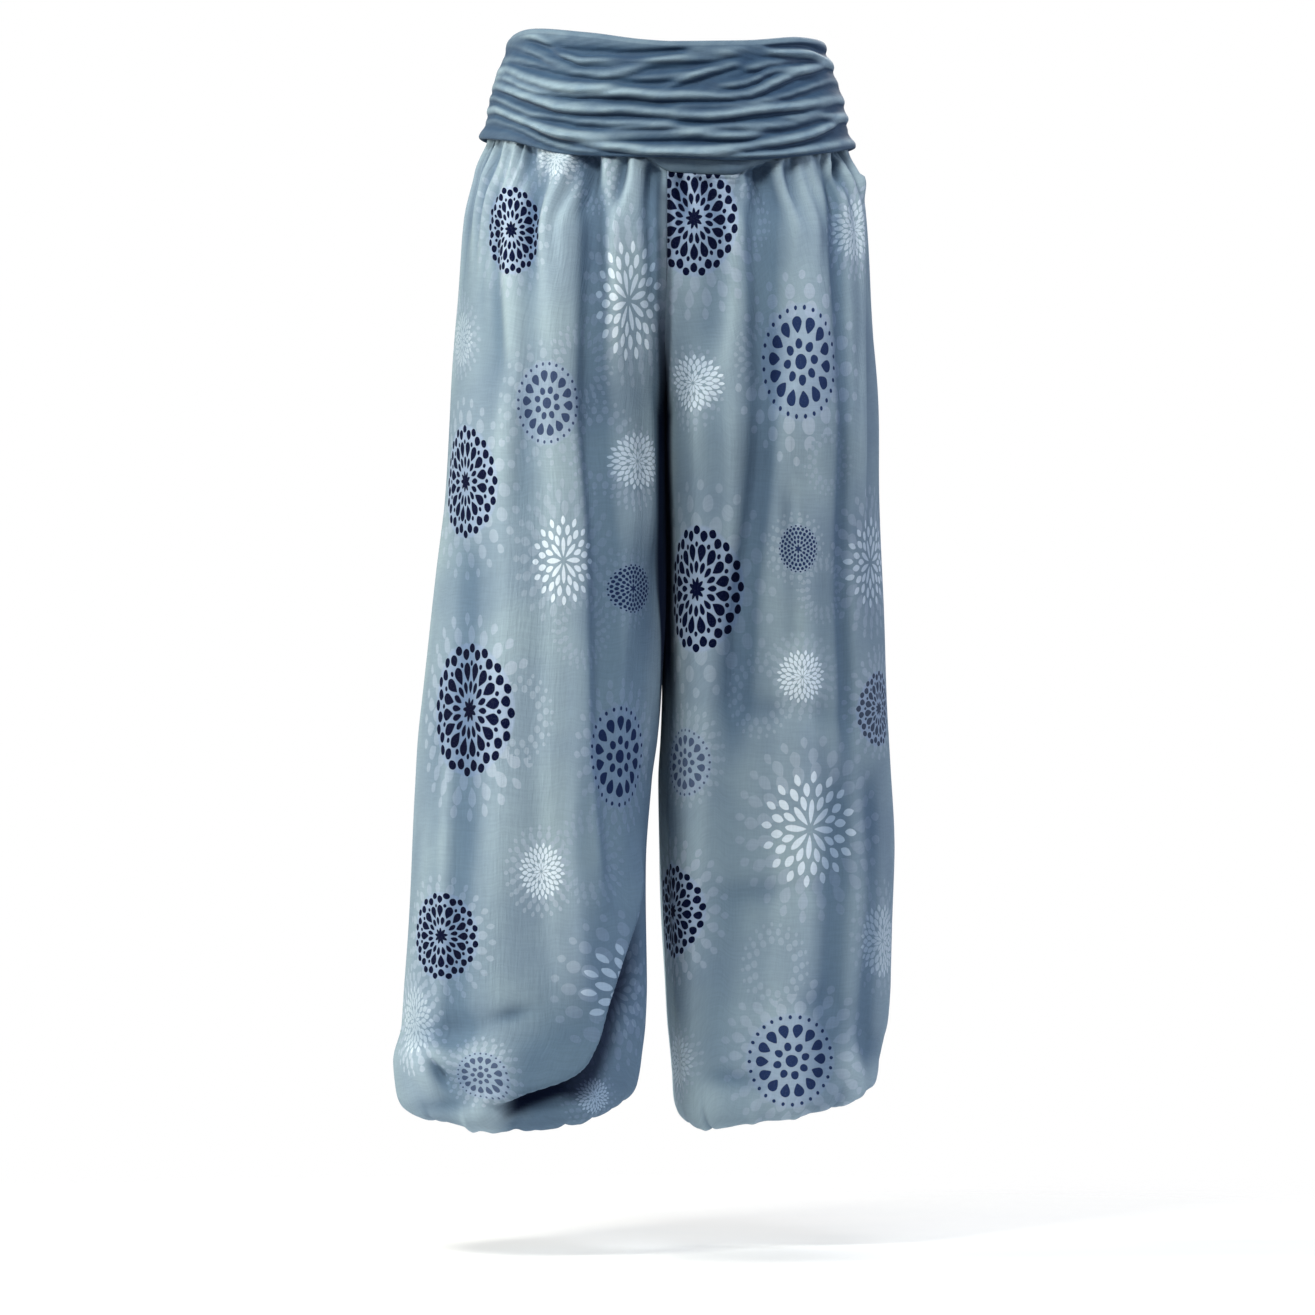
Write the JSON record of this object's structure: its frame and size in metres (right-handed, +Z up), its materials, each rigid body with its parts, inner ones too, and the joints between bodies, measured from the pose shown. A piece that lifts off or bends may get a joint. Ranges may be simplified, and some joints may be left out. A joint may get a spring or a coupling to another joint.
{
  "type": "harem trousers",
  "caption": "Worn harem trousers with a folded ruched waistband, very full gathered legs and bloused hems over elastic ankles, held in mid-stride.",
  "frame": {"origin": "middle of the waist opening at the front's top edge, where the wearer's waist holds the trousers up", "axes": "+Z up along the body, -Y towards the front, +X towards the wearer's left"},
  "size_m": [0.4484, 0.387, 0.9904],
  "materials": {
    "slate_jersey": "matt stretch jersey, slate blue",
    "printed_viscose": "soft crinkled viscose, grey blue with a flower-burst print",
    "casing_cloth": "same viscose over elastic, gathered"
  },
  "bodies": {
    "root": {"waistband_front": "slate_jersey", "waistband_back": "slate_jersey", "leg_right_front": "printed_viscose", "leg_right_back": "printed_viscose", "leg_left_front": "printed_viscose", "leg_left_back": "printed_viscose", "ankle_casing_right": "casing_cloth", "ankle_casing_left": "casing_cloth"}
  },
  "joints": []
}
